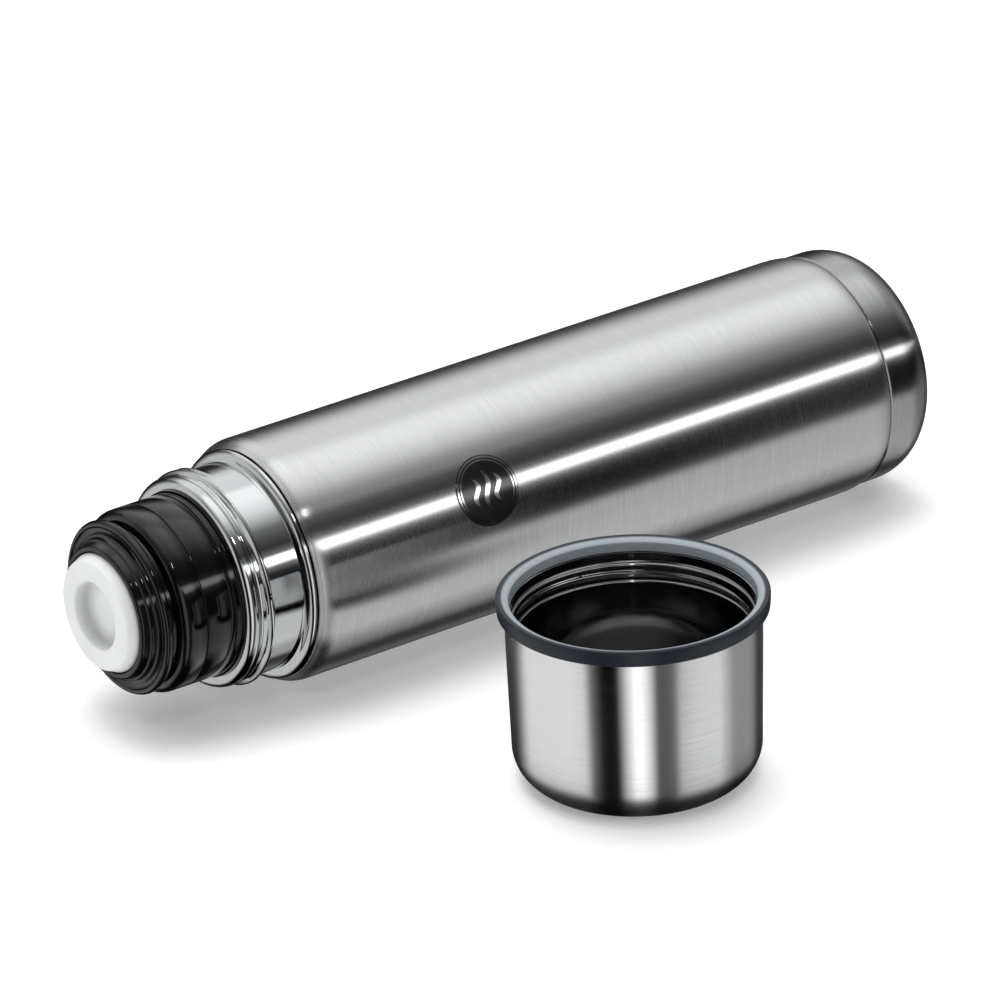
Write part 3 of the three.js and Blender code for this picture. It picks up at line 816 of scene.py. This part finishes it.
# Brightness of the studio by the angle round the flask's axis, as (degrees, level); 90 is overhead, 180 the
# horizon on the cup's side
SKY = [
    (270, 0.5),
    (255, 0.65),
    (246, 0.70),
    (240, 0.84),
    (233, 0.62),
    (205, 0.56),
    (198, 0.30),
    (191, 0.03),
    (180, 0.01),
    (168, 0.04),
    (161, 0.35),
    (157, 4.6),
    (153, 4.6),
    (149.5, 0.30),
    (141, 0.06),
    (130, 0.15),
    (120, 0.30),
    (110, 0.82),
    (100, 1.34),
    (90, 1.68),
    (80, 1.90),
    (68, 1.92),
    (61, 1.36),
    (38, 1.40),
    (28, 1.12),
    (20, 0.46),
    (10, 0.06),
    (0, 0.02),
    (-14, 0.04),
    (-26, 0.45),
    (-38, 0.08),
    (-80, 0.03),
]

# Brightness below the horizon by compass bearing from +Y towards +X, as (degrees, level)
BEARINGS = [
    (0, 0.03),
    (25, 0.03),
    (38, 0.06),
    (46, 0.22),
    (56, 0.10),
    (74, 0.10),
    (82, 0.60),
    (90, 1.15),
    (102, 1.05),
    (160, 0.95),
    (174, 0.75),
    (181, 0.12),
    (197, 0.10),
    (204, 0.95),
    (211, 1.50),
    (217, 1.55),
    (223, 0.95),
    (233, 0.0),
    (247, 0.0),
    (257, 0.12),
    (264, 0.90),
    (280, 0.98),
    (332, 0.95),
    (346, 0.25),
    (355, 0.03),
    (360, 0.03),
]
LEVEL_MAX = 5.0
SKY_START = 270  # degrees at the start of the sky's ramp

# Where parts of the sky fade, by a direction's x or z: (from, to)
FRONT = (-0.30, -0.75)  # towards the stopper's end the bands grow dim
FRONT_LEVEL = 0.2
BASE_END = (0.62, 0.80)  # so they do towards the base's end
BASE_END_LEVEL = 0.35
RISE = (0.02, -0.12)  # at the stopper's end the bands reach lower and the bearings take over from higher up
RISE_HEIGHT = 0.7
BELOW = (-0.215, -0.335)
NADIR = (-0.93, -0.81)


def studio_sky():
    world = bpy.data.worlds.new("studio")
    bpy.context.scene.world = world
    world.use_nodes = True
    nodes = Nodes(world.node_tree)
    background = next(n for n in world.node_tree.nodes if n.type == "BACKGROUND")
    direction = nodes.add("ShaderNodeTexCoord").outputs["Generated"]
    split = nodes.add("ShaderNodeSeparateXYZ")
    nodes.link(direction, split.inputs[0])
    x, y, z = split.outputs

    round_flask = nodes.math("ARCTAN2", y, z)
    place = nodes.range(round_flask, -math.pi, math.pi, 0.0, 1.0)
    stops = [((SKY_START - angle) / DEGREES, level / LEVEL_MAX) for angle, level in SKY]
    bands = nodes.dimmed(nodes.ramp(place, stops), nodes.range(x, *FRONT, 1.0, FRONT_LEVEL))

    bearing = nodes.math("ARCTAN2", x, y)
    lap = nodes.math("MULTIPLY", nodes.math("LESS_THAN", bearing, 0.0), TURN)
    place = nodes.math("DIVIDE", nodes.math("ADD", bearing, lap), TURN)
    stops = [(angle / DEGREES, level / LEVEL_MAX) for angle, level in BEARINGS]
    low = nodes.dimmed(nodes.ramp(place, stops), nodes.range(z, *NADIR, 0.0, 1.0))

    rise = nodes.range(x, *RISE, 0.0, RISE_HEIGHT)
    below = nodes.range(nodes.math("SUBTRACT", z, rise), *BELOW, 0.0, 1.0)
    base_end = nodes.range(x, *BASE_END, 1.0, BASE_END_LEVEL)
    nodes.link(nodes.dimmed(nodes.mix(below, bands, low), base_end), background.inputs["Color"])
    background.inputs["Strength"].default_value = LEVEL_MAX


def area_light(name, place, target, width, height, power):
    data = bpy.data.lights.new(name, "AREA")
    data.shape = "RECTANGLE"
    data.size = width
    data.size_y = height
    data.energy = power
    obj = bpy.data.objects.new(name, data)
    bpy.context.scene.collection.objects.link(obj)
    obj.location = place
    obj.rotation_euler = (Vector(target) - Vector(place)).to_track_quat("-Z", "Y").to_euler()
    obj.visible_camera = False
    return obj


studio_sky()
overhead = area_light("overhead", (0.05, 0.4, 1.75), (0.0, 0.0, 0.0), 1.2, 1.2, 14.0)
overhead.visible_glossy = False
area_light("front_left", (-0.80, -1.12, 1.85), (-0.02, 0.0, 0.03), 0.10, 0.25, 3.0)

# ---- Camera ----------------------------------------------------------------------------------------------

LOOK_AT = Vector((-0.0063, 0.05415, 0.040))
AZIMUTH, ELEVATION, ROLL = 0.6132005, 0.4386459, -0.0359166
DISTANCE = 2.91557
LENS, SENSOR = 328.65, 36.0  # mm
CLIP_START = 0.1


def camera():
    data = bpy.data.cameras.new("camera")
    data.lens = LENS
    data.sensor_width = SENSOR
    data.clip_start = CLIP_START
    obj = bpy.data.objects.new("camera", data)
    bpy.context.scene.collection.objects.link(obj)
    level = math.cos(ELEVATION)
    forward = Vector((math.sin(AZIMUTH) * level, math.cos(AZIMUTH) * level, -math.sin(ELEVATION)))
    right = forward.cross(Vector((0, 0, 1))).normalized()
    up = right.cross(forward)
    right, up = (
        math.cos(ROLL) * right + math.sin(ROLL) * up,
        -math.sin(ROLL) * right + math.cos(ROLL) * up,
    )
    turn = Matrix((right, up, -forward)).transposed().to_4x4()
    obj.matrix_world = Matrix.Translation(LOOK_AT - DISTANCE * forward) @ turn
    bpy.context.scene.camera = obj


camera()
bpy.context.scene.view_settings.view_transform = "Standard"
bpy.context.scene.view_settings.look = "None"

bpy.context.view_layer.update()
